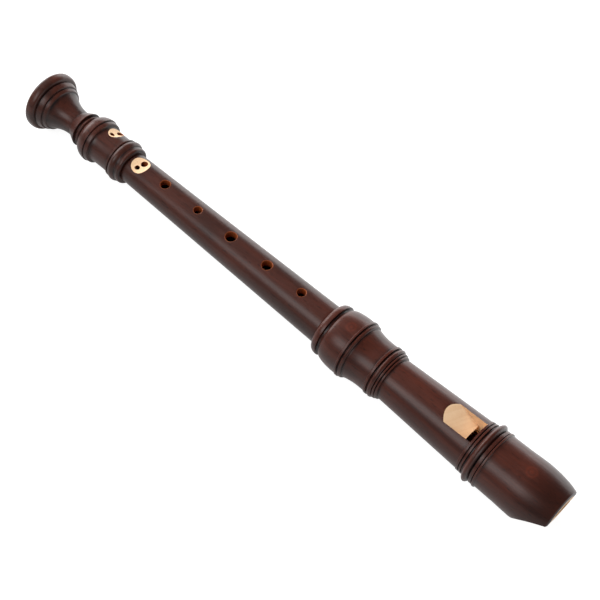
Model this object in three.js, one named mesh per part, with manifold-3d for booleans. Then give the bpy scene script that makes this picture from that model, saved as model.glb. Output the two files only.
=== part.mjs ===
// Soprano recorder in C, turned in wood in three joints: foot, middle and head.
// The head holds a cedar block under the windway, and the two tenons of the middle joint carry cork.
//
// Units are millimetres. A station is a distance along the instrument from the bell end, so the
// mouth end is at station LENGTH. The finger holes look up (+Z) and the mouth end is at +X.
// The origin is under the middle of the instrument, on the surface that it lies on.
import * as THREE from 'three';
import { mergeVertices } from 'three/addons/utils/BufferGeometryUtils.js';
import Module from 'manifold-3d';

const wasm = await Module();
wasm.setup();

// ---- Driving dimensions ---------------------------------------------------------------------

const LENGTH = 326;                 // bell end to mouth end
const SIDES = 28;                   // flats round each turned piece
const CLEARANCE = 0.3;              // between pieces that touch

const BELL_RADIUS = 15.6;
const FOOT_END = 62.2;              // station of the foot joint's socket face
const HEAD_START = 192.3;           // station of the head joint's socket face
const BODY_RADIUS = { foot: 7.85, head: 10.2 };   // middle joint, next to each neighbour

// Along a tenon, distances are measured out from its shoulder.
const LOWER_TENON = { radius: 6.9, length: 12.2, corkFrom: 2.4, corkTo: 10.0, corkBed: 6.2 };
const UPPER_TENON = { radius: 8.5, length: 19.4, corkFrom: 3.0, corkTo: 15.0, corkBed: 7.5 };
const TENON_CHAMFER = 0.5;
const LOWER_SOCKET = { radius: 7.4, depth: 12.4 };
const UPPER_SOCKET = { radius: 9.0, depth: 19.7 };

const FOOT_BORE = { mouth: 6.2, flare: 5.5, flareDepth: 1.5, throat: 4.7, throatStation: 12 };
const MIDDLE_BORE = { foot: 4.7, head: 5.7 };
const HEAD_BORE = 5.7;

const BLOCK = { radius: 7.5, seat: 279.0, bore: 7.8 };
const WINDOW = { rampStart: 261.2, rampHeight: 12.25, lip: 275.5, end: 279.3, halfWidth: 6.0, top: 18 };
const LIP_HEIGHT = 5.8;             // middle of the labium's edge, above the axis
const ARCH = 0.3 / 36;              // fall of the lip and windway: ARCH times the side distance squared
const WINDWAY = { floor: 5.3, height: 1.2, halfWidth: 5.4, riseDegrees: 0.8 };
const ABOVE_BLOCK = { height: 6, halfWidth: 9 };   // the space cut away over the block's top
const OVERCUT = 3;                  // how far a cutter runs past what it cuts

const BEAK_TIP_RADIUS = 11.1;
const BEAK_DRUM = { station: 327, height: -13.9, edge: 18.5, middle: 17.0, halfWidth: 9, reach: 20 };

const FOOT_TURN = 33;               // the foot joint is set round towards the little finger
const SINGLE_HOLES = [              // first to fifth finger
  { station: 174.9, diameter: 4.4 },
  { station: 153.1, diameter: 5.2 },
  { station: 129.8, diameter: 5.6 },
  { station: 107.7, diameter: 4.2 },
  { station: 85.7, diameter: 5.0 },
];
const THUMB_HOLE = { station: 183.2, diameter: 5.2 };
const SIXTH_HOLE = { station: 68.4, turn: 0, bodyRadius: 7.95, cutterRadius: 7.6, depth: 1.5 };
const SEVENTH_HOLE = { station: 46.1, turn: FOOT_TURN, bodyRadius: 9.7, cutterRadius: 5.2, depth: 1.2 };
const DOUBLE_HOLE = { large: 3.4, small: 2.5, largeAngle: 18, smallAngle: -15, stagger: 1.0 };

// ---- Wood, cork and cedar -------------------------------------------------------------------

const material = (color, roughness) =>
  new THREE.MeshStandardMaterial({ color, roughness, metalness: 0 });
const stainedWood = material(0x3a2622, 0.42);
const cedar = material(0xc99b66, 0.7);
const cork = material(0xb98a5a, 0.9);

// ---- Solids ---------------------------------------------------------------------------------

// A closed solid from a geometry whose shared vertices are merged.
function solid(geometry) {
  geometry.deleteAttribute('normal');
  geometry.deleteAttribute('uv');
  const merged = mergeVertices(geometry);
  return new wasm.Manifold(new wasm.Mesh({
    numProp: 3,
    vertProperties: Float32Array.from(merged.attributes.position.array),
    triVerts: Uint32Array.from(merged.index.array),
  }));
}

function piece(name, manifold, finish) {
  const mesh = manifold.getMesh();
  const geometry = new THREE.BufferGeometry();
  geometry.setAttribute('position', new THREE.BufferAttribute(mesh.vertProperties, 3));
  geometry.setIndex(new THREE.BufferAttribute(mesh.triVerts, 1));
  geometry.computeVertexNormals();
  const result = new THREE.Mesh(geometry, finish);
  result.name = name;
  return result;
}

// Turns a closed loop of [station, radius] points. The loop runs towards the mouth end along the
// outside and back along the bore. Radii are measured to the middle of each flat.
function turned(loop) {
  const flat = 1 / Math.cos(Math.PI / SIDES);
  const points = [...loop, loop[0]].map(([s, r]) => new THREE.Vector2(r * flat, s));
  const geometry = new THREE.LatheGeometry(points, SIDES, Math.PI / SIDES);
  geometry.rotateZ(-Math.PI / 2);
  return solid(geometry);
}

// A quarter of an ellipse between two [station, radius] points. It rises steeply and ends level,
// or, when falling, starts level and ends steep.
function quarter([s0, r0], [s1, r1], steps = 5) {
  const rising = r1 > r0;
  return Array.from({ length: steps + 1 }, (_, i) => {
    const t = (i / steps) * Math.PI / 2;
    return rising
      ? [s0 + (s1 - s0) * (1 - Math.cos(t)), r0 + (r1 - r0) * Math.sin(t)]
      : [s0 + (s1 - s0) * Math.sin(t), r1 + (r0 - r1) * Math.cos(t)];
  });
}

// A half-round bead that stands on two [station, radius] points.
function bead([s0, r0], [s1, r1], height, steps = 4) {
  return Array.from({ length: steps + 1 }, (_, i) => {
    const t = i / steps;
    return [s0 + (s1 - s0) * t, r0 + (r1 - r0) * t + height * Math.sin(Math.PI * t)];
  });
}

// A hollow curve that falls from a steep start to a level end, as r = end + drop * (1 - t) ^ power.
function hollow([s0, r0], [s1, r1], power, steps) {
  return Array.from({ length: steps + 1 }, (_, i) => {
    const t = i / steps;
    return [s0 + (s1 - s0) * t, r1 + (r0 - r1) * (1 - t) ** power];
  });
}

// A round cutter that points out of the instrument at an angle from +Z towards +Y.
function drill(station, degrees, diameter) {
  const length = BELL_RADIUS + OVERCUT;
  const geometry = new THREE.CylinderGeometry(diameter / 2, diameter / 2, length, 20);
  geometry.rotateX(Math.PI / 2);
  geometry.translate(station, 0, length / 2);
  geometry.rotateX(-THREE.MathUtils.degToRad(degrees));
  return solid(geometry);
}

// A mill that runs across the instrument and leaves a shallow oval dish in its surface.
function dish({ station, turn, bodyRadius, cutterRadius, depth }) {
  const geometry = new THREE.CylinderGeometry(cutterRadius, cutterRadius, 2 * BELL_RADIUS, 40);
  geometry.translate(station, 0, bodyRadius - depth + cutterRadius);
  geometry.rotateX(-THREE.MathUtils.degToRad(turn));
  return solid(geometry);
}

// The two small holes that share one dish. The larger one is on the +Y side.
function doubleHole(body, hole) {
  const { large, small, largeAngle, smallAngle, stagger } = DOUBLE_HOLE;
  return body
    .subtract(dish(hole))
    .subtract(drill(hole.station + stagger / 2, hole.turn + largeAngle, large))
    .subtract(drill(hole.station - stagger / 2, hole.turn + smallAngle, small));
}

// An upright plate of constant width, from an outline of [station, height] points.
function plate(outline, halfWidth, steps = 1) {
  const shape = new THREE.Shape(outline.map(([s, z]) => new THREE.Vector2(s, z)));
  const geometry = new THREE.ExtrudeGeometry(shape, { depth: 2 * halfWidth, steps, bevelEnabled: false });
  geometry.rotateX(Math.PI / 2);
  geometry.translate(0, halfWidth, 0);
  return geometry;
}

// Lowers each point by the arch of the lip and windway, by as much as share(station) says.
function arched(geometry, share) {
  const position = geometry.attributes.position;
  for (let i = 0; i < position.count; i += 1) {
    const fall = ARCH * position.getY(i) ** 2 * share(position.getX(i));
    position.setZ(i, position.getZ(i) - fall);
  }
  return solid(geometry);
}

// ---- Foot joint -----------------------------------------------------------------------------

// The turned outline, as [station, radius] points.
function footOutside() {
  return [
    [0, 13.4],
    ...quarter([0.2, 13.8], [2.2, BELL_RADIUS], 4),              // rounded rim of the bell
    ...quarter([3.2, BELL_RADIUS], [5.6, 14.2], 4),
    [5.8, 12.9], [6.3, 12.8], [6.5, 13.4], [8.9, 12.6],          // two steps behind the rim
    [9.1, 11.6], [9.6, 11.5], [9.8, 11.9], [11.2, 11.3],
    ...hollow([11.5, 10.5], [24.0, 6.9], 2.2, 8),                // sweep of the bell to the neck
    [26.4, 8.1], [28.6, 9.2], [29.0, 9.2],                       // collar over the neck
    [29.2, 7.8], [29.9, 7.8],
    ...bead([30.1, 8.3], [31.7, 8.3], 0.45),
    [32.0, 7.5], [32.2, 7.5],
    ...quarter([32.4, 8.3], [38.4, 12.0], 6),                    // shoulder
    [38.6, 12.0], [38.8, 11.2], [39.1, 11.2], [39.3, 11.6], [41.2, 11.3],
    [41.5, 9.9], [43.2, 9.75], [48.0, 9.65], [53.6, 9.65],       // barrel with the seventh hole
    [53.8, 10.5], [54.6, 10.5],
    [54.8, 9.9], [55.0, 9.9],
    ...bead([55.1, 10.3], [58.9, 10.3], 0.75),                   // bead over the socket
    [59.1, 9.9], [60.6, 9.9],
    ...quarter([60.8, 10.0], [FOOT_END, 9.0], 3),
  ];
}

function makeFoot() {
  const socketFloor = FOOT_END - LOWER_SOCKET.depth;
  const bore = [
    [FOOT_END, LOWER_SOCKET.radius],
    [socketFloor, LOWER_SOCKET.radius],
    [socketFloor, FOOT_BORE.throat],
    [FOOT_BORE.throatStation, FOOT_BORE.throat],
    [FOOT_BORE.flareDepth, FOOT_BORE.flare],
    [0, FOOT_BORE.mouth],
  ];
  const body = turned([...footOutside(), ...bore]);
  return piece('foot_joint', doubleHole(body, SEVENTH_HOLE), stainedWood);
}

// ---- Middle joint ---------------------------------------------------------------------------

const middleStart = FOOT_END + CLEARANCE;
const middleEnd = HEAD_START - CLEARANCE;

// The outside of a tenon and its cork bed, from the shoulder out. out is +1 towards the mouth.
function tenonOutside(shoulder, tenon, out) {
  const at = (distance) => shoulder + out * distance;
  return [
    [at(0), tenon.radius],
    [at(tenon.corkFrom), tenon.radius],
    [at(tenon.corkFrom), tenon.corkBed],
    [at(tenon.corkTo), tenon.corkBed],
    [at(tenon.corkTo), tenon.radius],
    [at(tenon.length - TENON_CHAMFER), tenon.radius],
    [at(tenon.length), tenon.radius - TENON_CHAMFER],
  ];
}

function makeMiddle() {
  const lowerEnd = middleStart - LOWER_TENON.length;
  const upperEnd = middleEnd + UPPER_TENON.length;
  let body = turned([
    ...tenonOutside(middleStart, LOWER_TENON, -1).reverse(),
    [middleStart, BODY_RADIUS.foot],
    [middleEnd, BODY_RADIUS.head],
    ...tenonOutside(middleEnd, UPPER_TENON, 1),
    [upperEnd, MIDDLE_BORE.head],
    [lowerEnd, MIDDLE_BORE.foot],
  ]);
  for (const { station, diameter } of SINGLE_HOLES) {
    body = body.subtract(drill(station, 0, diameter));
  }
  body = body.subtract(drill(THUMB_HOLE.station, 180, THUMB_HOLE.diameter));
  return piece('middle_joint', doubleHole(body, SIXTH_HOLE), stainedWood);
}

// A cork sleeve in its bed on a tenon. It stands a little proud and fills the socket.
function makeCork(name, shoulder, tenon, socket, out) {
  const from = shoulder + out * (tenon.corkFrom + CLEARANCE);
  const to = shoulder + out * (tenon.corkTo - CLEARANCE);
  const [start, end] = from < to ? [from, to] : [to, from];
  const inside = tenon.corkBed + CLEARANCE;
  const outside = socket.radius - CLEARANCE;
  return piece(name, turned([[start, outside], [end, outside], [end, inside], [start, inside]]), cork);
}

// ---- Head joint -----------------------------------------------------------------------------

// The turned outline, as [station, radius] points. The beak's nose is an ellipse that the mouth
// end cuts off.
function headOutside() {
  return [
    [HEAD_START, 10.9],
    ...quarter([192.5, 11.3], [195.4, 13.5], 4),                 // flange at the socket's mouth
    [196.0, 13.5], [196.2, 12.2], [197.2, 12.1],
    ...quarter([197.4, 12.5], [207, 14.75], 6),                  // bulb over the socket
    [209.0, 14.75], [209.2, 15.1], [210.0, 15.1], [210.2, 14.0], [210.5, 14.0],
    ...bead([210.6, 14.3], [212.1, 14.2], 0.4, 3),
    [212.4, 13.4], [212.7, 13.4],
    ...hollow([212.8, 13.6], [221.0, 12.5], 2, 5),               // waist
    [224.6, 12.5], [224.9, 13.0], [226.0, 13.0], [226.2, 11.9], [226.5, 11.9],
    ...bead([226.6, 12.4], [228.8, 12.4], 0.6),                  // three small rings
    [229.0, 11.6], [229.2, 11.6], [229.4, 12.3], [230.1, 12.2], [230.3, 11.2],
    [230.5, 11.2], [230.7, 11.7], [231.4, 11.6], [231.7, 10.7], [232.0, 10.8],
    [233, 10.9], [256, 11.95], [278.9, 12.95],                   // barrel with the window
    [279.1, 13.3], [280.3, 13.4], [280.5, 12.6], [280.8, 12.6],
    [281.0, 13.4], [281.9, 13.5], [282.1, 12.7], [282.6, 12.7],
    ...bead([282.8, 13.6], [286.4, 13.6], 1.8, 7),               // large ring, flat where it rests
    [286.6, 13.2], [286.9, 13.2], [287.0, 14.1], [288.5, 14.1], [288.6, 13.2],
    [288.9, 13.2], [289.0, 14.5], [289.8, 14.5], [290.1, 13.9],
    [300, 14.1], [306, 14.4],                                    // beak
    ...quarter([309, 14.5], [LENGTH + 4.2, 8.0], 12).filter(([s]) => s < LENGTH),
    [LENGTH, BEAK_TIP_RADIUS],
  ];
}

// The mouth end is hollowed from below with a drum that leaves the lower edge slightly crowned.
function beakDrum() {
  const { station, height, edge, middle, halfWidth, reach } = BEAK_DRUM;
  const crown = [-1, -0.75, -0.5, -0.25, 0, 0.25, 0.5, 0.75, 1].map(
    (across) => [middle + (edge - middle) * across ** 2, across * halfWidth]);
  const outline = [[0, -reach], [edge, -reach], ...crown, [edge, reach], [0, reach]];
  const geometry = new THREE.LatheGeometry(outline.map(([r, y]) => new THREE.Vector2(r, y)), 56);
  geometry.translate(station, 0, height);
  return solid(geometry);
}

// The ramp down to the labium's edge, and the window in front of it.
function windowCutter() {
  const { rampStart, rampHeight, lip, end, halfWidth, top } = WINDOW;
  const slope = (rampHeight - LIP_HEIGHT) / (lip - rampStart);
  const outline = [
    [rampStart - OVERCUT, rampHeight + OVERCUT * slope],
    [lip, LIP_HEIGHT],
    [lip, 0],
    [end, 0],
    [end, top],
    [rampStart - OVERCUT, top],
  ];
  const share = (s) => THREE.MathUtils.clamp((s - rampStart) / (lip - rampStart), 0, 1);
  return arched(plate(outline, halfWidth, 8), share);
}

// Stands on the windway's floor, which climbs a little towards the mouth end.
function windwayCutter({ height, halfWidth }) {
  const rise = Math.tan(THREE.MathUtils.degToRad(WINDWAY.riseDegrees));
  const floorAt = (s) => WINDWAY.floor + rise * (s - WINDOW.end);
  const start = WINDOW.end - OVERCUT;
  const end = LENGTH + OVERCUT;
  const outline = [
    [start, floorAt(start)],
    [end, floorAt(end)],
    [end, floorAt(end) + height],
    [start, floorAt(start) + height],
  ];
  return arched(plate(outline, halfWidth, 8), () => 1);
}

function makeHead() {
  const socketFloor = HEAD_START + UPPER_SOCKET.depth;
  const bore = [
    [LENGTH, BLOCK.bore],
    [BLOCK.seat, BLOCK.bore],
    [BLOCK.seat, HEAD_BORE],
    [socketFloor, HEAD_BORE],
    [socketFloor, UPPER_SOCKET.radius],
    [HEAD_START, UPPER_SOCKET.radius],
  ];
  const body = turned([...headOutside(), ...bore])
    .subtract(windowCutter())
    .subtract(windwayCutter(WINDWAY))
    .subtract(beakDrum());
  return piece('head_joint', body, stainedWood);
}

function makeBlock() {
  const plug = [
    [WINDOW.end, 0], [WINDOW.end, BLOCK.radius], [LENGTH, BLOCK.radius], [LENGTH, 0],
  ];
  const body = turned(plug).subtract(windwayCutter(ABOVE_BLOCK)).subtract(beakDrum());
  return piece('block', body, cedar);
}

// ---- The instrument -------------------------------------------------------------------------

const recorder = new THREE.Group();
recorder.add(
  makeFoot(),
  makeMiddle(),
  makeHead(),
  makeBlock(),
  makeCork('lower_tenon_cork', middleStart, LOWER_TENON, LOWER_SOCKET, -1),
  makeCork('upper_tenon_cork', middleEnd, UPPER_TENON, UPPER_SOCKET, 1),
);
recorder.position.set(-LENGTH / 2, 0, BELL_RADIUS);

export default recorder;
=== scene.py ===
# %% [markdown]
# # A soprano recorder in stained wood
#
# The recorder is turned on a lathe in three joints: foot, middle and head. Each joint is a tube
# with a decorated outside, and the finger holes, the window and the mouth end are cut afterwards.
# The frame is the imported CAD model. It gives the size, the place and the motion of every part,
# and this script gives them their finished shapes and their finishes.

import math

import bmesh
import bpy
import numpy as np
from mathutils import Matrix, Vector


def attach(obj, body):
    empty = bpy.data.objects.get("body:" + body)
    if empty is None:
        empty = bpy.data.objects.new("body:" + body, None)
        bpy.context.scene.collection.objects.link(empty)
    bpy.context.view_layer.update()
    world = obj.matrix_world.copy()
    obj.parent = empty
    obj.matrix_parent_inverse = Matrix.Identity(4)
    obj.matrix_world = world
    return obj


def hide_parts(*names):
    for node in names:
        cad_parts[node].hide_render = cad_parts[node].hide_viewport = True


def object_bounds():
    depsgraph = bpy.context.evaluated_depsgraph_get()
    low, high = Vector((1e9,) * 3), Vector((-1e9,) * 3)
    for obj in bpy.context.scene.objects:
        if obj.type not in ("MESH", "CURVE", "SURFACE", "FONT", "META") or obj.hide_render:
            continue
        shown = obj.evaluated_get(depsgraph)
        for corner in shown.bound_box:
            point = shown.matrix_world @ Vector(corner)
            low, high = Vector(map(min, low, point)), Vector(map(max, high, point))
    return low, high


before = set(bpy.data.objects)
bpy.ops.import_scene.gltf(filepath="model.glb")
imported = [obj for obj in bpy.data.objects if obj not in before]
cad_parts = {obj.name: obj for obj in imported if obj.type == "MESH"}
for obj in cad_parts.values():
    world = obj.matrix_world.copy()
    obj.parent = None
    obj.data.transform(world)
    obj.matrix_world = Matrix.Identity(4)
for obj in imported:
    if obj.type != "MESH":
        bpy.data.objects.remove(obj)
cad_low, cad_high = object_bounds()
print("CAD box", [round(v, 4) for v in (*cad_low, *cad_high)])

# %% [markdown]
# A maker measures a recorder along its bore, so every length below is a station: millimetres from
# the bell end. The other two measures are sideways and up from the bore's axis. One function turns
# them into metres in the frame, and the frame's own box says where the bell end and the axis are.

# %% Measure along the bore
MM = 0.001
LENGTH = round((cad_high.x - cad_low.x) / MM, 3)
AXIS_Z = (cad_low.z + cad_high.z) / 2


def at(station, side=0.0, height=0.0):
    """A point of the instrument as metres in the frame."""
    return Vector((cad_low.x + station * MM, side * MM, AXIS_Z + height * MM))


def round_the_bore(station, radius, angle):
    """A point at a radius from the axis. The angle is from the top towards +Y, in radians."""
    return at(station, radius * math.sin(angle), radius * math.cos(angle))


print("length", LENGTH, "mm, axis", round(AXIS_Z / MM, 3), "mm above the floor")

# %% [markdown]
# The camera comes first, because every later choice is judged through it. A long lens at a fair
# distance keeps the tube nearly parallel. Two angles and a small roll say where it looks, which
# is easier to read than a rotation matrix.

# %% Set up the camera
LENS, SENSOR_WIDTH = 84.0, 36.0       # in millimetres
CAMERA_PLACE = Vector((0.2298, -0.2722, 0.5616))
CAMERA_AZIMUTH = math.radians(38.75)
CAMERA_ELEVATION = math.radians(57.28)
CAMERA_ROLL = math.radians(5.04)


def aimed(azimuth, elevation, roll):
    """The rotation of a camera that looks from an azimuth and elevation back at the object."""
    right = Vector((math.cos(azimuth), math.sin(azimuth), 0))
    back = Vector((math.sin(azimuth) * math.cos(elevation),
                   -math.cos(azimuth) * math.cos(elevation), math.sin(elevation)))
    level = Matrix((right, back.cross(right), back)).transposed()
    return level @ Matrix.Rotation(roll, 3, "Z")


camera_data = bpy.data.cameras.new("camera")
camera_data.lens = LENS
camera_data.sensor_width = SENSOR_WIDTH
camera = bpy.data.objects.new("camera", camera_data)
camera.matrix_world = (Matrix.Translation(CAMERA_PLACE)
                       @ aimed(CAMERA_AZIMUTH, CAMERA_ELEVATION, CAMERA_ROLL).to_4x4())
bpy.context.scene.collection.objects.link(camera)
bpy.context.scene.camera = camera
print("camera", [round(v, 3) for v in camera.location], "lens", LENS)

# %% [markdown]
# A finish is a material with a few texture nodes. Wiring nodes by hand takes many lines, so a
# small bench of helpers keeps each finish short: one adds a node, one adds a maths step, and one
# opens a new node group with named inputs and outputs. Two more lay tints over a tone and add up
# masks. Groups hold what several finishes share.

# %% Helpers for finishes
def join(tree, source, socket):
    """Feeds a socket from another node's socket, or sets it to a plain value."""
    if isinstance(source, bpy.types.NodeSocket):
        tree.links.new(source, socket)
    else:
        socket.default_value = source


def node(tree, kind, inputs=None, **settings):
    """A new node with its settings made and its inputs fed."""
    made = tree.nodes.new("ShaderNode" + kind)
    for name, value in settings.items():
        setattr(made, name, value)
    for name, source in (inputs or {}).items():
        join(tree, source, made.inputs[name])
    return made


def maths(tree, operation, *values):
    """One step of arithmetic on values that change over the surface."""
    made = node(tree, "Math", operation=operation)
    for socket, value in zip(made.inputs, values):
        join(tree, value, socket)
    return made.outputs[0]


def stepped(tree, value, low, high):
    """A soft mask: 0 below low, 1 above high."""
    made = node(tree, "MapRange", {"Value": value, "From Min": low, "From Max": high},
                interpolation_type="SMOOTHSTEP")
    return made.outputs["Result"]


def blended(tree, amount, first, second):
    """Mixes two colours."""
    made = node(tree, "Mix", data_type="RGBA")
    for socket, source in ((made.inputs[0], amount), (made.inputs[6], first),
                           (made.inputs[7], second)):
        join(tree, source, socket)
    return made.outputs[2]


def tinted(tree, tone, layers):
    """Lays tints over a tone, one after another. Each is a mask, its strength and a colour."""
    for mask, strength, tint in layers:
        tone = blended(tree, maths(tree, "MULTIPLY", mask, strength), tone, tint)
    return tone


def summed(tree, start, parts):
    """Adds masks to a starting value, each with its own share."""
    for mask, share in parts:
        start = maths(tree, "MULTIPLY_ADD", mask, share, start)
    return start


def stretched(tree, point, along, across):
    """Scales a place on the object: along the bore, and across it."""
    made = node(tree, "VectorMath", {0: point, 1: (along, across, across)},
                operation="MULTIPLY")
    return made.outputs[0]


def noise(tree, point, scale=1.0, detail=2.0, roughness=0.5):
    """Soft random values between 0 and 1, most of them near 0.5."""
    made = node(tree, "TexNoise", {"Vector": point, "Scale": scale, "Detail": detail,
                                   "Roughness": roughness})
    return made.outputs["Fac"]


def new_group(name, inputs, outputs):
    """A node group with number inputs and number outputs."""
    tree = bpy.data.node_groups.new(name, "ShaderNodeTree")
    for label, value in inputs.items():
        socket = tree.interface.new_socket(label, in_out="INPUT", socket_type="NodeSocketFloat")
        socket.default_value = value
    for label in outputs:
        tree.interface.new_socket(label, in_out="OUTPUT", socket_type="NodeSocketFloat")
    entry, leaving = tree.nodes.new("NodeGroupInput"), tree.nodes.new("NodeGroupOutput")
    return tree, entry.outputs, leaving.inputs


def use_group(tree, group, **values):
    """Places a group in a finish. Underscores in the names stand for spaces."""
    made = tree.nodes.new("ShaderNodeGroup")
    made.node_tree = group
    for label, value in values.items():
        join(tree, value, made.inputs[label.replace("_", " ")])
    return made.outputs


# %% [markdown]
# Wood is a solid pattern, not a picture wrapped round the outside. The tree's yearly layers lie
# one on the other, and the lathe cuts through them, which leaves long streaks on a straight
# barrel. Making the layers in space gives those streaks on every joint without extra work. Where
# a bulge just touches a layer, the layer shows as an eye, a set of small rings. This instrument
# has two, on the bulb of the head and on top of the beak, so their places are given. The fibres
# run along the bore, and the pores are short dark dashes between them.

# %% The grain group
PITH = (0.0, -0.028, -0.145)          # the tree's centre line, measured from the bore's axis
EYES = (round_the_bore(205.2, 14.6, math.radians(-1)), round_the_bore(307.5, 14.4, 0.0))
EYE_MM, EYE_RING_MM = 3.8, 1.848      # half the width of an eye, and from one ring to the next
EYE_CORE = 0.4                        # within this share of its width an eye is at its full
EYE_CONTRAST = 0.35                   # how strongly its rings stand out
WANDER, CLOUDS = (14, 60), (26, 95)   # how often each repeats in a metre, along and across
FIBRES, DASHES = (60, 1100), (210, 1700)


def random_line(tree, distance, detail):
    """Random values along one measure, such as the depth in the tree."""
    return node(tree, "TexNoise", {"W": distance, "Scale": 1.0, "Detail": detail},
                noise_dimensions="1D").outputs["Fac"]


def layer_mask(tree, place, wander, spacing):
    """Yearly layers round the pith. Wander and spacing are in metres."""
    from_axis = node(tree, "VectorMath", {0: place, 1: (0.0, 0.0, AXIS_Z)},
                     operation="SUBTRACT").outputs[0]
    from_pith = node(tree, "VectorMath", {0: from_axis, 1: PITH}, operation="SUBTRACT").outputs[0]
    flat = stretched(tree, from_pith, 0, 1)
    depth = node(tree, "VectorMath", {0: flat}, operation="LENGTH").outputs["Value"]
    count = maths(tree, "DIVIDE", maths(tree, "ADD", depth, wander), spacing)
    return stepped(tree, random_line(tree, count, 3.0), 0.33, 0.67)


def eye_mask(tree, place, wander):
    """Rings round the small places where the surface just touches a layer."""
    mask = 0.0
    for centre in EYES:
        away = node(tree, "VectorMath", {0: place, 1: tuple(centre)}, operation="DISTANCE")
        far = maths(tree, "ADD", away.outputs["Value"], wander)
        wave = maths(tree, "SINE", maths(tree, "MULTIPLY", far, 2 * math.pi / (EYE_RING_MM * MM)))
        ring = maths(tree, "MULTIPLY_ADD", wave, EYE_CONTRAST, 1 - EYE_CONTRAST)
        near = stepped(tree, far, EYE_MM * MM, EYE_CORE * EYE_MM * MM)
        mask = maths(tree, "ADD", mask, maths(tree, "MULTIPLY", ring, near))
    return mask


def make_grain_group():
    """Layers, fibres, pores, clouds of tone and eyes, as masks."""
    tree, given, out = new_group(
        "wood_grain",
        {"Layer spacing mm": 2.2, "Waviness mm": 1.2, "Pore amount": 0.5},
        ["Layers", "Fibre", "Pores", "Clouds", "Eyes"])
    place = node(tree, "TexCoord").outputs["Object"]
    wander = noise(tree, stretched(tree, place, *WANDER), detail=3)
    wander = maths(tree, "MULTIPLY", maths(tree, "SUBTRACT", wander, 0.5),
                   maths(tree, "MULTIPLY", given["Waviness mm"], MM))
    spacing = maths(tree, "MULTIPLY", given["Layer spacing mm"], MM)
    join(tree, layer_mask(tree, place, wander, spacing), out["Layers"])
    join(tree, eye_mask(tree, place, wander), out["Eyes"])
    fibre = noise(tree, stretched(tree, place, *FIBRES), detail=4, roughness=0.65)
    join(tree, stepped(tree, fibre, 0.3, 0.7), out["Fibre"])
    dashes = noise(tree, stretched(tree, place, *DASHES), detail=2)
    bar = maths(tree, "SUBTRACT", 0.82, maths(tree, "MULTIPLY", given["Pore amount"], 0.16))
    join(tree, stepped(tree, maths(tree, "SUBTRACT", dashes, bar), -0.05, 0.05), out["Pores"])
    clouds = noise(tree, stretched(tree, place, *CLOUDS), detail=2)
    join(tree, stepped(tree, clouds, 0.32, 0.68), out["Clouds"])
    return tree


wood_grain = make_grain_group()
print("group", wood_grain.name, [s.name for s in wood_grain.interface.items_tree])

# %% [markdown]
# A lathe tool leaves very fine rings round the work, and use leaves marks of its own: raised
# rings are rubbed paler. The grooves are painted darker, partly for stain and dust that stay in
# them and partly as painted shade. The meshes carry two numbers for that, crest and groove,
# which are measured from the turned outline further down.

# %% The turning group and the wear and painted shade group
def place_along(tree):
    """How far along the bore a point lies, in metres."""
    place = node(tree, "TexCoord").outputs["Object"]
    return node(tree, "SeparateXYZ", {0: place}).outputs["X"]


def make_turning_group():
    """Fine rings left by the tool."""
    tree, given, out = new_group("turning_marks", {"Pitch mm": 0.35}, ["Rings"])
    turn = maths(tree, "DIVIDE", place_along(tree),
                 maths(tree, "MULTIPLY", given["Pitch mm"], MM))
    join(tree, random_line(tree, turn, 2.0), out["Rings"])
    return tree


def make_wear_and_shade():
    """Worn crests and dark grooves in patches; the dark is partly dust, partly painted shade."""
    tree, given, out = new_group("wear_and_shade_group", {"Patch size mm": 7.0}, ["Worn", "Dust and shade"])
    place = node(tree, "TexCoord").outputs["Object"]
    patches = noise(tree, place, maths(tree, "DIVIDE", 1 / MM, given["Patch size mm"]), detail=3)
    patches = stepped(tree, patches, 0.3, 0.65)
    for label, attribute in (("Worn", "crest"), ("Dust and shade", "groove")):
        amount = node(tree, "Attribute", attribute_name=attribute).outputs["Fac"]
        join(tree, maths(tree, "MULTIPLY", amount, patches), out[label])
    return tree


turning_marks = make_turning_group()
wear_and_shade_group = make_wear_and_shade()
print("groups", turning_marks.name, "and", wear_and_shade_group.name)

# %% [markdown]
# The outside is stained a dark red-brown and finished with oil, which leaves a satin gloss. The
# stain is thin, so the yearly layers and the clouds of tone show through it. The foot and the
# middle come from one board and the head from a redder one, so the finish changes board at the
# joint between them. The beak turns darker towards the mouth end. Each finish is a Principled
# shader, and only what changes over the surface is wired into it.

# %% The stained finish
def colour(red, green, blue):
    """A screen colour, 0 to 255, as the linear light that shaders use."""
    def linear(value):
        value /= 255
        return value / 12.92 if value <= 0.04045 else ((value + 0.055) / 1.055) ** 2.4
    return (linear(red), linear(green), linear(blue), 1.0)


def new_finish(name, **plain):
    """An empty material with a Principled shader, whose plain values are set on its sockets."""
    made = bpy.data.materials.new(name)
    made.use_nodes = True
    shader = made.node_tree.nodes["Principled BSDF"]
    for label, value in plain.items():
        shader.inputs[label.replace("_", " ")].default_value = value
    return made, made.node_tree, shader.inputs


def relief(tree, height, deepest_mm):
    """A bump from a height of 0 to 1."""
    return node(tree, "Bump", {"Height": height, "Distance": deepest_mm * MM,
                               "Strength": 1.0}).outputs["Normal"]


BOARD_CHANGE = (191.8, 192.2)         # stations across the joint between middle and head
BEAK_DARKENS = (302, 320)             # stations over which the beak turns darker


def board_tone(tree, grain, along):
    """The stained wood's own colour, before grain, wear, dust, painted shade and the darker beak.
    """
    lower_board = blended(tree, grain["Layers"], colour(42, 22, 17), colour(54, 29, 23))
    head_board = blended(tree, grain["Layers"], colour(50, 20, 13), colour(64, 27, 17))
    start, end = BOARD_CHANGE
    return blended(tree, stepped(tree, along, at(start).x, at(end).x), lower_board, head_board)


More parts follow.
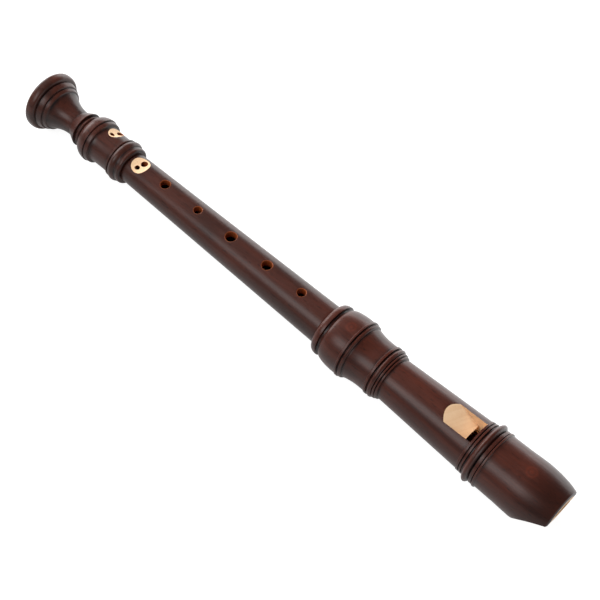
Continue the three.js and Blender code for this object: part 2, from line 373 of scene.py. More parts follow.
def make_stained_finish():
    """Dark stain and oil, for all three joints."""
    made, tree, shader = new_finish("stained_wood", Specular_IOR_Level=0.06, Coat_Roughness=0.33,
                                    Coat_IOR=1.38, Coat_Weight=0.9)
    grain = use_group(tree, wood_grain, Layer_spacing_mm=3.4, Waviness_mm=3.2, Pore_amount=0.95)
    marks = use_group(tree, turning_marks, Pitch_mm=0.3)
    rubbed_and_shaded = use_group(tree, wear_and_shade_group, Patch_size_mm=8.0)
    along = place_along(tree)
    paler_end, dark = BEAK_DARKENS
    tone = tinted(tree, board_tone(tree, grain, along), (
        (grain["Clouds"], 0.55, colour(80, 36, 24)),
        (grain["Fibre"], 0.42, colour(40, 17, 12)),
        (grain["Pores"], 0.75, colour(20, 9, 7)),
        (grain["Eyes"], 0.24, colour(118, 48, 28)),
        (stepped(tree, along, at(paler_end).x, at(dark).x), 0.55, colour(24, 9, 6)),
        (rubbed_and_shaded["Worn"], 0.10, colour(100, 56, 42)),
        # painted shade: the grooves go almost black, partly also for dust settled in them
        (rubbed_and_shaded["Dust and shade"], 0.92, colour(12, 7, 7))))
    join(tree, tone, shader["Base Color"])
    gloss = summed(tree, 0.36, ((grain["Fibre"], 0.08), (grain["Clouds"], 0.05),
                                (rubbed_and_shaded["Worn"], -0.06), (rubbed_and_shaded["Dust and shade"], 0.22)))
    join(tree, gloss, shader["Roughness"])
    height = summed(tree, 0.0, ((grain["Fibre"], 0.35), (grain["Pores"], -0.6),
                                (marks["Rings"], 0.25)))
    join(tree, relief(tree, height, 0.016), shader["Normal"])
    return made


stained = make_stained_finish()
print("finish", stained.name)

# %% [markdown]
# The window, the windway, the mouth's end face and the dishes of the double holes are cut after
# staining, so they show the pale wood itself. The walls of the holes are soaked with oil, and lie
# between the two. The block is cedar, which is soft and pale and has close, straight layers. All
# three use the same grain, with other colours.

# %% The bare, oiled and cedar finishes
def make_plain_wood(name, pale, dark, streak, rough, grain_values, deepest_mm):
    """Wood without stain, in three tones of its own."""
    made, tree, shader = new_finish(name, Specular_IOR_Level=0.35)
    grain = use_group(tree, wood_grain, **grain_values)
    marks = use_group(tree, turning_marks, Pitch_mm=0.45)
    tone = tinted(tree, pale, ((grain["Layers"], 0.5, dark), (grain["Fibre"], 0.25, dark),
                               (grain["Clouds"], 0.25, pale), (grain["Pores"], 0.6, streak)))
    join(tree, tone, shader["Base Color"])
    join(tree, summed(tree, rough, ((grain["Fibre"], 0.12),)), shader["Roughness"])
    height = summed(tree, grain["Fibre"], ((grain["Pores"], -0.7), (marks["Rings"], 0.2)))
    join(tree, relief(tree, height, deepest_mm), shader["Normal"])
    return made


bare = make_plain_wood("bare_wood", colour(232, 198, 160), colour(216, 174, 134),
                       colour(190, 134, 92), 0.52,
                       {"Layer_spacing_mm": 1.1, "Waviness_mm": 0.9, "Pore_amount": 0.6}, 0.02)
oiled = make_plain_wood("oiled_wood", colour(150, 78, 38), colour(104, 48, 22),
                        colour(58, 26, 14), 0.40,
                        {"Layer_spacing_mm": 1.4, "Waviness_mm": 1.0, "Pore_amount": 0.6}, 0.02)
cedar = make_plain_wood("cedar", colour(214, 166, 112), colour(178, 122, 74),
                        colour(132, 82, 48), 0.62,
                        {"Layer_spacing_mm": 0.8, "Waviness_mm": 0.3, "Pore_amount": 0.4}, 0.03)
print("finishes", bare.name, oiled.name, cedar.name)

# %% [markdown]
# Cork is bark. It is cut as a thin sheet and glued round the tenon, and it shows soft grains of
# several browns with small dark pits. Voronoi cells make the grains and a raised noise the pits.

# %% The cork finish
CORK_GRAINS, CORK_PATCHES = 900.0, 170.0   # how many in a metre
CORK_PITS = (900, 420)                # the same, along the bore and across it


def make_cork_finish():
    """Grains of several browns, with dark pits."""
    made, tree, shader = new_finish("cork", Specular_IOR_Level=0.3)
    place = node(tree, "TexCoord").outputs["Object"]
    marks = use_group(tree, turning_marks, Pitch_mm=0.6)
    cells = node(tree, "TexVoronoi", {"Vector": place, "Scale": CORK_GRAINS})
    shade = node(tree, "SeparateColor", {0: cells.outputs["Color"]}).outputs[0]
    pits = noise(tree, stretched(tree, place, *CORK_PITS), detail=2)
    pits = stepped(tree, pits, 0.60, 0.70)
    patches = stepped(tree, noise(tree, place, CORK_PATCHES), 0.35, 0.65)
    tone = tinted(tree, colour(196, 148, 98), (
        (shade, 1.0, colour(168, 116, 70)), (patches, 1.0, colour(205, 160, 112)),
        (pits, 0.8, colour(84, 50, 30))))
    join(tree, tone, shader["Base Color"])
    join(tree, summed(tree, 0.70, ((pits, 0.12),)), shader["Roughness"])
    height = summed(tree, 0.0, ((shade, 0.3), (pits, -1.0), (marks["Rings"], 0.2)))
    join(tree, relief(tree, height, 0.06), shader["Normal"])
    return made


cork = make_cork_finish()
print("finish", cork.name)

# %% [markdown]
# Turning is a lathe's work: an outline is spun round the axis. In mesh code that is one ring of
# points for each point of the outline. The outlines use three shapes that a turner knows, the
# quarter round, the bead and the hollow. A real edge is never sharp, because it is sanded, so
# each corner of an outline is eased by a small curve before it is spun.

# %% The turner's curves
SIDES = 160
FINE = 14                             # steps in each curve
CLEAR_CORNER = math.radians(14)       # an outline that turns less than this is left alone
CORNER_STEPS = 3
CORNER_SHARE = 0.45                   # the most that easing takes of a stretch, at each end


def quarter(start, end):
    """A quarter of an ellipse that rises steeply and ends level, or starts level and falls."""
    (s0, r0), (s1, r1) = start, end
    turns = np.linspace(0, math.pi / 2, FINE + 1)
    if r1 > r0:
        return [(s0 + (s1 - s0) * (1 - math.cos(t)), r0 + (r1 - r0) * math.sin(t))
                for t in turns]
    return [(s0 + (s1 - s0) * math.sin(t), r1 + (r0 - r1) * math.cos(t)) for t in turns]


def bead(start, end, height):
    """A half round that stands on two points."""
    (s0, r0), (s1, r1) = start, end
    return [(s0 + (s1 - s0) * t, r0 + (r1 - r0) * t + height * math.sin(math.pi * t))
            for t in np.linspace(0, 1, FINE + 1)]


def hollow(start, end, power):
    """A curve that falls from a steep start to a level end."""
    (s0, r0), (s1, r1) = start, end
    return [(s0 + (s1 - s0) * t, r1 + (r0 - r1) * (1 - t) ** power)
            for t in np.linspace(0, 1, 2 * FINE + 1)]


def eased(outline, reach=0.08):
    """Rounds each clear corner of a closed outline."""
    points = [Vector(p) for p in outline]
    result = []
    for i, here in enumerate(points):
        before, after = points[i - 1] - here, points[(i + 1) % len(points)] - here
        if math.pi - before.angle(after) < CLEAR_CORNER:
            result.append(here)
            continue
        start = here + before.normalized() * min(reach, CORNER_SHARE * before.length)
        end = here + after.normalized() * min(reach, CORNER_SHARE * after.length)
        for t in np.linspace(0, 1, CORNER_STEPS + 1):
            result.append(start.lerp(here, t).lerp(here.lerp(end, t), t))
    return [tuple(p) for p in result]


def spaced(outline, longest=2.0):
    """Puts extra points in the long stretches of a closed outline."""
    result = []
    for (s0, r0), (s1, r1) in zip(outline, [*outline[1:], outline[0]]):
        count = max(1, math.ceil(math.hypot(s1 - s0, r1 - r0) / longest))
        result += [(s0 + (s1 - s0) * k / count, r0 + (r1 - r0) * k / count)
                   for k in range(count)]
    return result


# %% [markdown]
# Every solid here, a turned tube or a cutter, is a row of rings with the same number of points.
# One function skins such a row. A tube closes its row on itself, and anything else gets a cap at
# each end.

# %% Skin a row of rings
def skinned(name, rings, finish, closed=False):
    """A mesh object from rings of points. A closed row joins its last ring to its first."""
    size = len(rings[0])
    rows = len(rings)
    faces = []
    for i in range(rows if closed else rows - 1):
        here, there = i * size, (i + 1) % rows * size
        faces += [(here + k, here + (k + 1) % size, there + (k + 1) % size, there + k)
                  for k in range(size)]
    if not closed:
        faces += [tuple(range(size))[::-1], tuple(range((rows - 1) * size, rows * size))]
    mesh = bpy.data.meshes.new(name)
    mesh.from_pydata([tuple(p) for ring in rings for p in ring], [], faces)
    mesh.materials.append(finish)
    shell = bmesh.new()
    shell.from_mesh(mesh)
    bmesh.ops.recalc_face_normals(shell, faces=shell.faces)
    shell.to_mesh(mesh)
    shell.free()
    made = bpy.data.objects.new(name, mesh)
    bpy.context.scene.collection.objects.link(made)
    return made


def full_turn(count):
    """Angles spread evenly round a circle."""
    return np.linspace(0, 2 * math.pi, count, endpoint=False)


def turned(name, loop, finish):
    """Spins an outline that runs out along the outside and back along the bore."""
    rings = [[round_the_bore(s, r, -a) for a in full_turn(SIDES)] for s, r in loop]
    return skinned(name, rings, finish, closed=True)


# %% [markdown]
# Holes and flats are cut with the Boolean modifier, which subtracts one closed solid from
# another. Each cutter wears the finish that it leaves behind, and the modifier hands it over to
# the new faces, so a cut through the stain comes out pale with no painting.

# %% Cut one solid from another
SHARP_EDGE = math.radians(35)


def make_final(piece):
    """Turns a piece's modifiers into its mesh."""
    graph = bpy.context.evaluated_depsgraph_get()
    final = bpy.data.meshes.new_from_object(piece.evaluated_get(graph))
    piece.modifiers.clear()
    piece.data = final


def cut(piece, *cutters):
    """Subtracts the cutters and throws them away."""
    for cutter in cutters:
        step = piece.modifiers.new(cutter.name, "BOOLEAN")
        step.operation = "DIFFERENCE"
        step.solver = "EXACT"
        step.material_mode = "TRANSFER"
        step.object = cutter
    make_final(piece)
    for cutter in cutters:
        bpy.data.objects.remove(cutter)
    print("cut", piece.name, len(piece.data.polygons), "faces")


def smooth_shading(piece):
    """Shades a piece smooth, except over its real edges."""
    piece.data.shade_smooth()
    piece.data.set_sharp_from_angle(angle=SHARP_EDGE)


def keep(piece, body, cad_node):
    """Tells the frame what a finished piece moves with and what it stands for."""
    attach(piece, body)
    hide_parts(cad_node)
    print(piece.name, "rides on", body)


# %% [markdown]
# A finger hole is drilled and then eased at its rim, so that the finger seals it. The rim
# follows the round of the joint: it is lower at the sides of the hole than along the bore. The
# cutter's rings are therefore not flat. Each of its points is set from the height that the
# joint's surface has just there.

# %% The finger-hole drill
HOLE_SIDES = 48
HOLE_RIM = 0.3                        # the width of the eased rim
RIM_ANGLES = np.radians([30, 55, 78])
DRILL_TIP, DRILL_CLEAR = 0.6, 2       # from the axis to the drill's end, and above the surface


def tool_point(station, across, height, turn):
    """A point of a tool that stands on the axis and is turned round it to its hole."""
    return round_the_bore(station, math.hypot(across, height), turn + math.atan2(across, height))


def hole_drill(name, station, turn, diameter, surface):
    """A drill with an eased rim. surface(station) is the radius of the joint there."""
    def ring(radius, sunk=0.0, level=None):
        """Points round the hole, sunk below the joint's surface or all at one level."""
        points = []
        for a in full_turn(HOLE_SIDES):
            along, across = radius * math.cos(a), radius * math.sin(a)
            top = math.sqrt(max(surface(station + along) ** 2 - across ** 2, 0))
            height = top - sunk if level is None else level
            points.append(tool_point(station + along, across, height, turn))
        return points

    wall = diameter / 2
    rings = [ring(wall, level=DRILL_TIP), ring(wall, sunk=HOLE_RIM)]
    for t in RIM_ANGLES:
        rings.append(ring(wall + HOLE_RIM * (1 - math.cos(t)), sunk=HOLE_RIM * (1 - math.sin(t))))
    rings.append(ring(wall + HOLE_RIM, level=surface(station) + DRILL_CLEAR))
    return skinned(name, rings, oiled)


# %% [markdown]
# The two lowest fingers each cover a pair of small holes, which makes the sharps easier. The pair
# sits in a shallow dish so that the finger finds it. A round mill that runs across the joint
# leaves such a dish, and because it cuts through the stain the dish is pale.

# %% The double-hole tools
# each small hole's diameter, its angle from the pair's middle and its place along the bore
LARGE_HOLE, SMALL_HOLE = (3.4, math.radians(18), 0.5), (2.5, math.radians(-15), -0.5)
MILL_SIDES, MILL_REACH = 128, 16
SMALL_DRILL_SPAN = (0.5, 20)          # its ends, measured out from the axis


def dish_mill(station, turn, body_radius, mill_radius, depth):
    """A cylinder that lies across the joint and dips into it."""
    centre = body_radius - depth + mill_radius
    rings = [[tool_point(station + mill_radius * math.cos(a), across,
                         centre + mill_radius * math.sin(a), turn) for a in full_turn(MILL_SIDES)]
             for across in (-MILL_REACH, MILL_REACH)]
    return skinned("dish", rings, bare)


def small_drill(station, turn, diameter):
    """A plain drill that points out from the axis."""
    radius = diameter / 2
    rings = [[tool_point(station + radius * math.cos(a), radius * math.sin(a), height, turn)
              for a in full_turn(HOLE_SIDES)]
             for height in SMALL_DRILL_SPAN]
    return skinned("small_hole", rings, oiled)


def double_hole(station, turn, body_radius, mill_radius, depth):
    """The three cutters of one double hole."""
    cutters = [dish_mill(station, turn, body_radius, mill_radius, depth)]
    for diameter, angle, offset in (LARGE_HOLE, SMALL_HOLE):
        cutters.append(small_drill(station + offset, turn + angle, diameter))
    return cutters


# %% [markdown]
# The crest and groove numbers come from the outline itself. Where the outline stands proud of its
# own smoothed copy there is a crest, and where it lies below it there is a groove. Each point of
# the finished mesh looks its number up by its station.

# %% Mark crests and grooves
OUTLINE_STEP, SMOOTHING_REACH = 0.1, 1.6      # the outline's samples, and half the smoothed stretch
FULL_DEPTH = 0.22                      # the crest height or groove depth that counts in full
SKIN = 0.25                           # how far below the outline a point still lies outside


def mark_crests_and_grooves(piece, outline):
    """Stores crest and groove on a piece's outer points."""
    stations, radii = (np.array(values) for values in zip(*outline))
    order = np.argsort(stations, kind="stable")
    line = np.arange(stations.min(), stations.max(), OUTLINE_STEP)
    radius = np.interp(line, stations[order], radii[order])
    width = int(SMOOTHING_REACH / OUTLINE_STEP)
    padded = np.pad(radius, width, mode="edge")
    smooth = np.convolve(padded, np.ones(2 * width + 1) / (2 * width + 1), mode="valid")
    points = np.empty(len(piece.data.vertices) * 3)
    piece.data.vertices.foreach_get("co", points)
    points = points.reshape(-1, 3)
    station = (points[:, 0] - cad_low.x) / MM
    far = np.hypot(points[:, 1], points[:, 2] - AXIS_Z) / MM
    outside = far > np.interp(station, line, radius) - SKIN
    for name, sign in (("crest", 1), ("groove", -1)):
        depth = np.interp(station, line, sign * (radius - smooth)) / FULL_DEPTH
        values = np.where(outside, np.clip(depth, 0, 1), 0)
        layer = piece.data.attributes.new(name, "FLOAT", "POINT")
        layer.data.foreach_set("value", values.astype(np.float32))


# %% [markdown]
# ## Foot joint
# The foot ends in a bell and takes the little finger's pair of holes. It is set round towards
# that finger, so its holes are off the line of the others. Its bore widens at the bell, and a
# socket at the other end takes the middle joint.

# %% Turn the foot
FOOT_END = 62.2
FOOT_TURN = math.radians(33)


def foot_outline():
    """The outside, from the bell to the socket's mouth."""
    return [
        (0, 13.4), *quarter((0.2, 13.8), (2.2, 15.6)), *quarter((3.2, 15.6), (5.6, 14.2)),
        (5.8, 12.9), (6.3, 12.8), (6.5, 13.4), (8.9, 12.6),
        (9.1, 11.6), (9.6, 11.5), (9.8, 11.9), (11.2, 11.3),
        *hollow((11.5, 10.5), (24.0, 6.9), 2.2),
        (26.4, 8.1), (28.6, 9.2), (29.0, 9.2), (29.2, 7.8), (29.9, 7.8),
        *bead((30.1, 8.3), (31.7, 8.3), 0.45), (32.0, 7.5), (32.2, 7.5),
        *quarter((32.4, 8.3), (38.4, 12.0)),
        (38.6, 12.0), (38.8, 11.2), (39.1, 11.2), (39.3, 11.6), (41.2, 11.3),
        (41.5, 9.9), (43.2, 9.75), (48.0, 9.65), (53.6, 9.65),
        (53.8, 10.5), (54.6, 10.5), (54.8, 9.9), (55.0, 9.9),
        *bead((55.1, 10.3), (58.9, 10.3), 0.75),
        (59.1, 9.9), (60.6, 9.9), *quarter((60.8, 10.0), (FOOT_END, 9.0)),
    ]


foot_bore = [(FOOT_END, 7.4), (49.8, 7.4), (49.8, 4.7), (12, 4.7), (1.5, 5.5), (0, 6.2)]
foot = turned("foot", spaced(eased([*foot_outline(), *foot_bore])), stained)
cut(foot, *double_hole(46.1, FOOT_TURN, body_radius=9.7, mill_radius=5.2, depth=1.2))
mark_crests_and_grooves(foot, foot_outline())
smooth_shading(foot)
keep(foot, "foot", "foot_joint")

# %% [markdown]
# ## Middle joint
# The middle joint is a plain taper, so all its beauty is in the wood. It has five single holes
# on top, the pair of the sixth finger, and the thumb hole below. A tenon at each end has a bed
# for its cork.

# %% Turn and drill the middle
BARREL = ((62.5, 7.85), (192.0, 10.2))   # its two ends, each a station and a radius
MIDDLE_EASE, MIDDLE_SPACING = 0.2, 1.5   # the reach of its eased corners, and between points
SINGLE_HOLES = ((174.9, 4.4), (153.1, 5.2), (129.8, 5.6), (107.7, 4.2), (85.7, 5.0))
THUMB_HOLE = (183.2, 5.2)             # each hole is a station and a diameter


def middle_radius(station):
    """The taper of the barrel."""
    (start, start_radius), (end, end_radius) = BARREL
    share = (station - start) / (end - start)
    return start_radius + (end_radius - start_radius) * share


def middle_outline():
    """From the lower tenon's end over both cork beds to the upper tenon's end, and back."""
    start, end = BARREL[0][0], BARREL[1][0]
    return [
        (50.3, 6.4), (50.8, 6.9), (52.5, 6.9), (52.5, 6.2), (60.1, 6.2), (60.1, 6.9),
        (start, 6.9), *BARREL, (end, 8.5),
        (195.0, 8.5), (195.0, 7.5), (207.0, 7.5), (207.0, 8.5), (210.9, 8.5), (211.4, 8.0),
        (211.4, 5.7), (50.3, 4.7),
    ]


middle = turned("middle", spaced(eased(middle_outline(), MIDDLE_EASE), MIDDLE_SPACING), stained)
drills = [hole_drill("finger_hole", s, 0, d, middle_radius) for s, d in SINGLE_HOLES]
drills.append(hole_drill("thumb_hole", THUMB_HOLE[0], math.pi, THUMB_HOLE[1], middle_radius))
cut(middle, *drills, *double_hole(68.4, 0, body_radius=7.95, mill_radius=7.6, depth=1.5))
mark_crests_and_grooves(middle, BARREL)
smooth_shading(middle)
keep(middle, "middle", "middle_joint")

# %% [markdown]
# ## Head joint
# The head makes the sound. Air from the windway crosses the window and splits on the labium, the
# sharp edge at the foot of the pale ramp. The ramp starts flat and ends arched, to match the
# curve of the windway, so its cutter is a row of outlines that sink with the square of the
# distance from the middle.

# %% The window and windway cutters
ARCH = 0.3 / 36                       # how the windway's curve sinks, for each square millimetre
OVERRUN = 3                           # how far a cutter runs past what it cuts
RAMP_START, RAMP_HEIGHT, RAMP_POINTS = 261.2, 12.25, 30
LIP, LIP_HEIGHT = 275.5, 5.8
WINDOW_END, WINDOW_HALF, WINDOW_TOP = 279.3, 6.0, 18.0
WINDWAY_FLOOR, WINDWAY_HEIGHT, WINDWAY_HALF = 5.3, 1.2, 5.4
WINDWAY_RISE = math.tan(math.radians(0.8))
BEVEL = 0.5                           # the length of the bevels at the windway's inner end
ROOF_FLARE, FLOOR_FLARE = 1.5, 2.0    # how far they open over the cutter's overrun


def row_across(half_width, outline_at, count):
    """Rings for a cutter that lies across the joint, one outline for each distance."""
    return [[at(s, y, z) for s, z in outline_at(y)]
            for y in np.linspace(-half_width, half_width, count)]


def window_outline(y):
    """The ramp, its sharp lip, and the open window behind it, at a distance from the middle."""
    slope = (RAMP_HEIGHT - LIP_HEIGHT) / (LIP - RAMP_START)
    start = RAMP_START - OVERRUN
    ramp = []
    for s in np.linspace(start, LIP, RAMP_POINTS):
        share = min(max((s - RAMP_START) / (LIP - RAMP_START), 0), 1)
        ramp.append((s, RAMP_HEIGHT - slope * (s - RAMP_START) - ARCH * y * y * share))
    return [*ramp, (LIP, 0), (WINDOW_END, 0), (WINDOW_END, WINDOW_TOP), (start, WINDOW_TOP)]


def floor_height(s):
    """The windway's floor rises slightly towards the mouth end."""
    return WINDWAY_FLOOR + WINDWAY_RISE * (s - WINDOW_END)


def windway_outline(y):
    """The air's way from the mouth end to the window, with its roof bevelled at the window."""
    drop = ARCH * y * y
    start, end, bevel_end = WINDOW_END - OVERRUN, LENGTH + OVERRUN, WINDOW_END + BEVEL
    roof = WINDWAY_HEIGHT - drop
    return [(start, floor_height(start) - drop), (end, floor_height(end) - drop),
            (end, floor_height(end) + roof), (bevel_end, floor_height(bevel_end) + roof),
            (start, floor_height(WINDOW_END) + roof + ROOF_FLARE)]


window = skinned("window", row_across(WINDOW_HALF, window_outline, count=33), bare)
windway = skinned("windway", row_across(WINDWAY_HALF, windway_outline, count=25), bare)

# %% [markdown]
# The mouth end is hollowed from below so that the lip rests well. A drum across the joint does
# that, a little slimmer in its middle than at its ends. It leaves stained wood, because on the
# real instrument the hollow is made before staining and only the end face is trimmed afterwards.

# %% The beak's drum and end face
DRUM_STATION, DRUM_HEIGHT = 327, -13.9
DRUM_SIDES, DRUM_RINGS = 180, 25
DRUM_MIDDLE, DRUM_EDGE = 17.0, 18.5   # its radius in the middle and at its edge
DRUM_HALF, DRUM_REACH = 9, 20         # from the middle to the edge, and to the cutter's ends
STAINED_RIM = 9.9                     # the end face is trimmed bare inside this radius
SQUARE_ON, END_DEPTH = 0.98, 0.3      # which faces count as the end face


def beak_drum(finish):
    """The cutter for the hollow under the mouth end."""
    rings = []
    for y in [-DRUM_REACH, *np.linspace(-DRUM_HALF, DRUM_HALF, DRUM_RINGS), DRUM_REACH]:
        share = min(abs(y) / DRUM_HALF, 1) ** 2
        radius = DRUM_MIDDLE + (DRUM_EDGE - DRUM_MIDDLE) * share
        rings.append([at(DRUM_STATION + radius * math.cos(a), y,
                         DRUM_HEIGHT + radius * math.sin(a)) for a in full_turn(DRUM_SIDES)])
    return skinned("beak_drum", rings, finish)


def trim_end(piece, finish):
    """Gives the end face the finish of freshly cut wood."""
    piece.data.materials.append(finish)
    for face in piece.data.polygons:
        at_end = face.normal.x > SQUARE_ON and face.center.x > at(LENGTH - END_DEPTH).x
        far = math.hypot(face.center.y, face.center.z - AXIS_Z)
        if at_end and far < STAINED_RIM * MM:
            face.material_index = len(piece.data.materials) - 1


# %% [markdown]
# The head's outside has a bulb over its socket, three groups of rings, and a nose that the end
# face cuts short. It is spun like the other joints, down to a step in the bore where the block
# stops. The window, the windway and the beak's hollow are then cut from it together, and the
# labium is the wood that stays between the ramp and the bore.

# %% Turn and cut the head
HEAD_START = 192.3
BLOCK_SEAT = 279.0


def head_outline():
    """The outside, from the socket's mouth to the end face."""
    nose = [p for p in quarter((309, 14.5), (LENGTH + 4.2, 8.0)) if p[0] < LENGTH - 0.4]
    return [
        (HEAD_START, 10.9), *quarter((192.5, 11.3), (195.4, 13.5)),
        (196.0, 13.5), (196.2, 12.2), (197.2, 12.1), *quarter((197.4, 12.5), (207, 14.75)),
        (209.0, 14.75), (209.2, 15.1), (210.0, 15.1), (210.2, 14.0), (210.5, 14.0),
        *bead((210.6, 14.3), (212.1, 14.2), 0.4), (212.4, 13.4), (212.7, 13.4),
        *hollow((212.8, 13.6), (221.0, 12.5), 2),
        (224.6, 12.5), (224.9, 13.0), (226.0, 13.0), (226.2, 11.9), (226.5, 11.9),
        *bead((226.6, 12.4), (228.8, 12.4), 0.6),
        (229.0, 11.6), (229.2, 11.6), (229.4, 12.3), (230.1, 12.2), (230.3, 11.2),
        (230.5, 11.2), (230.7, 11.7), (231.4, 11.6), (231.7, 10.7), (232.0, 10.8),
        (233, 10.9), (256, 11.95), (278.9, 12.95),
        (279.1, 13.3), (280.3, 13.4), (280.5, 12.6), (280.8, 12.6),
        (281.0, 13.4), (281.9, 13.5), (282.1, 12.7), (282.6, 12.7),
        *bead((282.8, 13.6), (286.4, 13.6), 1.8),
        (286.6, 13.2), (286.9, 13.2), (287.0, 14.1), (288.5, 14.1), (288.6, 13.2),
        (288.9, 13.2), (289.0, 14.5), (289.8, 14.5), (290.1, 13.9),
        (300, 14.1), (306, 14.4), *nose, (LENGTH, 11.1), (LENGTH, STAINED_RIM),
    ]


head_bore = [(LENGTH, 7.8), (BLOCK_SEAT, 7.8), (BLOCK_SEAT, 5.7), (212.0, 5.7), (212.0, 9.0),
             (HEAD_START, 9.0)]
head = turned("head", spaced(eased([*head_outline(), *head_bore])), stained)
cut(head, window, windway, beak_drum(stained))
trim_end(head, bare)
mark_crests_and_grooves(head, head_outline())
smooth_shading(head)
keep(head, "head", "head_joint")

# %% [markdown]
# ## Block
# The block is a cedar plug that fills the head's bore under the windway. Cedar takes up the
# breath's damp and keeps its shape. Its top is the windway's floor, and it is cut with the same
# drum as the beak, because the two are shaped together. A spun outline can't reach the axis, so
# a hole as thin as a pin is left along the middle of the plug.

# %% Turn and cut the block
BLOCK_RADIUS, BLOCK_PIN = 7.5, 0.4    # the pin is the radius of the hole along the axis
BLOCK_EASE, BLOCK_SPACING = 0.25, 1.5
ABOVE_BLOCK_HALF, ABOVE_BLOCK_TOP = 9, 13.0


def above_block_outline(y):
    """What is cut off the plug above the windway's floor, with a bevel at the window."""
    drop = ARCH * y * y
    start, end, bevel_end = WINDOW_END - OVERRUN, LENGTH + OVERRUN, WINDOW_END + BEVEL
    return [(start, floor_height(WINDOW_END) - drop - FLOOR_FLARE),
            (bevel_end, floor_height(bevel_end) - drop), (end, floor_height(end) - drop),
            (end, ABOVE_BLOCK_TOP), (start, ABOVE_BLOCK_TOP)]


block_loop = [(WINDOW_END, BLOCK_PIN), (WINDOW_END, BLOCK_RADIUS), (LENGTH, BLOCK_RADIUS),
              (LENGTH, BLOCK_PIN)]
block = turned("block", spaced(eased(block_loop, BLOCK_EASE), BLOCK_SPACING), cedar)
above_block = skinned("above_block",
                      row_across(ABOVE_BLOCK_HALF, above_block_outline, count=37), cedar)
cut(block, above_block, beak_drum(cedar))
smooth_shading(block)
keep(block, "block", "block")

# %% [markdown]
# ## Tenon corks
# A sheet of cork is wrapped round each tenon and glued into its bed. It stands a little proud
# and seals the joint when it is pushed into its socket.

# %% Wrap the corks
WORN_ALONG, WORN_DEEP = 0.35, 0.2     # how far use has rounded a cork's outer corners
CORK_EASE, CORK_SPACING = 0.2, 0.8


def tenon_cork(name, start, end, inside, outside):
    """A sleeve with worn corners."""
    loop = [(start, outside - WORN_DEEP), (start + WORN_ALONG, outside),
            (end - WORN_ALONG, outside), (end, outside - WORN_DEEP),
            (end, inside), (start, inside)]
    sleeve = turned(name, spaced(eased(loop, CORK_EASE), CORK_SPACING), cork)
    smooth_shading(sleeve)
    return sleeve


lower_cork = tenon_cork("lower_cork", 52.8, 59.8, inside=6.5, outside=7.1)
upper_cork = tenon_cork("upper_cork", 195.3, 206.7, inside=7.8, outside=8.7)
keep(lower_cork, "lower_cork", "lower_tenon_cork")
keep(upper_cork, "upper_cork", "upper_tenon_cork")

# %% [markdown]
# ## Studio
# The recorder lies on a plain white floor under soft light. A floor bright enough to look white
# would also light the instrument from below on both sides alike, and its rounding would be lost.
# So the floor glows, and Light Path tells its two jobs apart: the camera sees an even white, and
# the wood gets less light back from the left of the bore than from the right.

# %% The floor
FLOOR_HALF = 4.0                      # metres from the middle to each side
FLOOR_GREY = 0.3                      # how much of the lamps' light it sends back
FLOOR_GLOW = 0.90                     # the light that the camera sees it give
LEFT_BOUNCE, RIGHT_BOUNCE = 0.33, 1.1   # the light that the instrument gets from each side
BOUNCE_CHANGE = (0.0, 0.06)           # metres from the bore over which left becomes right


def grey(level):
    """A neutral colour, as linear light."""
    return (level, level, level, 1)


def make_floor_paint():
    """A paint that glows with one light for the camera and another for the instrument."""
    paint, tree, shader = new_finish("floor_paint", Roughness=0.9, Specular_IOR_Level=0.0,
                                     Emission_Strength=1.0)
    shader["Base Color"].default_value = grey(FLOOR_GREY)
    place = node(tree, "TexCoord").outputs["Object"]
    across = node(tree, "SeparateXYZ", {0: place}).outputs["Y"]
    bounce = blended(tree, stepped(tree, across, *BOUNCE_CHANGE), grey(LEFT_BOUNCE),
                     grey(RIGHT_BOUNCE))
    seen = node(tree, "LightPath").outputs["Is Camera Ray"]
    join(tree, blended(tree, seen, bounce, grey(FLOOR_GLOW)), shader["Emission Color"])
    return paint


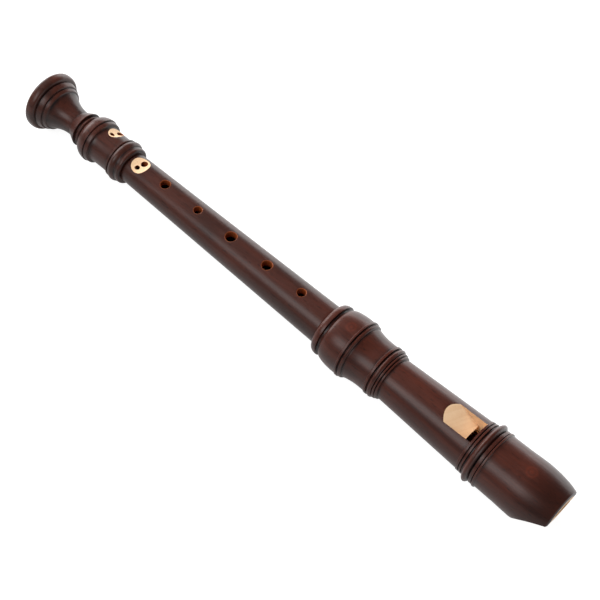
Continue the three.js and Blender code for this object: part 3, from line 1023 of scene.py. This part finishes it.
corners = [(-1, -1), (1, -1), (1, 1), (-1, 1)]
floor_mesh = bpy.data.meshes.new("floor")
floor_mesh.from_pydata([(x * FLOOR_HALF, y * FLOOR_HALF, 0) for x, y in corners], [],
                       [(0, 1, 2, 3)])
floor_mesh.materials.append(make_floor_paint())
floor = bpy.data.objects.new("floor", floor_mesh)
bpy.context.scene.collection.objects.link(floor)
print("floor", 2 * FLOOR_HALF, "m square")

# %% [markdown]
# A satin tube is mostly a mirror of what surrounds it, so every light leaves a band along the
# barrel or an edge on the rings. The left softbox makes a short, quiet band, the long, low one at
# the right lights the far edge, and weak ones at the two ends pick out the rings. The largest
# light hangs overhead. It fills the shade, and it is hidden from reflections so that it adds no
# highlight of its own.

# %% The lights
def studio_light(name, direction, distance, size, power):
    """A rectangular softbox that faces the middle of the instrument."""
    data = bpy.data.lights.new(name, "AREA")
    data.shape = "RECTANGLE"
    data.size, data.size_y = size
    data.energy = power
    lamp = bpy.data.objects.new(name, data)
    away = Vector(direction).normalized()
    lamp.location = Vector((0, 0, AXIS_Z)) + away * distance
    lamp.rotation_euler = away.to_track_quat("Z", "Y").to_euler()
    bpy.context.scene.collection.objects.link(lamp)
    return lamp


studio_light("left_softbox", (-0.22, -0.70, 0.67), 1.3, (0.75, 0.6), 6)
studio_light("right_softbox", (-0.33, 0.94, 0.06), 1.4, (2.4, 0.5), 12)
studio_light("end_softbox", (-0.95, 0.05, 0.30), 2.4, (1.8, 1.0), 30)
overhead = studio_light("overhead_softbox", (-0.55, 0.10, 0.83), 2.0, (1.6, 1.6), 52)
overhead.visible_glossy = False
studio_light("mouth_softbox", (0.97, -0.15, 0.12), 1.2, (0.6, 0.4), 3)

# %% [markdown]
# A weak, slightly cool world stands for the rest of the room and lifts the deepest shade. The
# Standard view shows colours as they were mixed, with no curve laid over them.

# %% The world and the view
WORLD_TINT, WORLD_STRENGTH = (0.95, 0.97, 1.0, 1), 0.14
world = bpy.data.worlds.new("studio")
world.use_nodes = True
sky = world.node_tree.nodes["Background"].inputs
sky["Color"].default_value = WORLD_TINT
sky["Strength"].default_value = WORLD_STRENGTH
bpy.context.scene.world = world
bpy.context.scene.view_settings.view_transform = "Standard"
print("world strength", WORLD_STRENGTH)
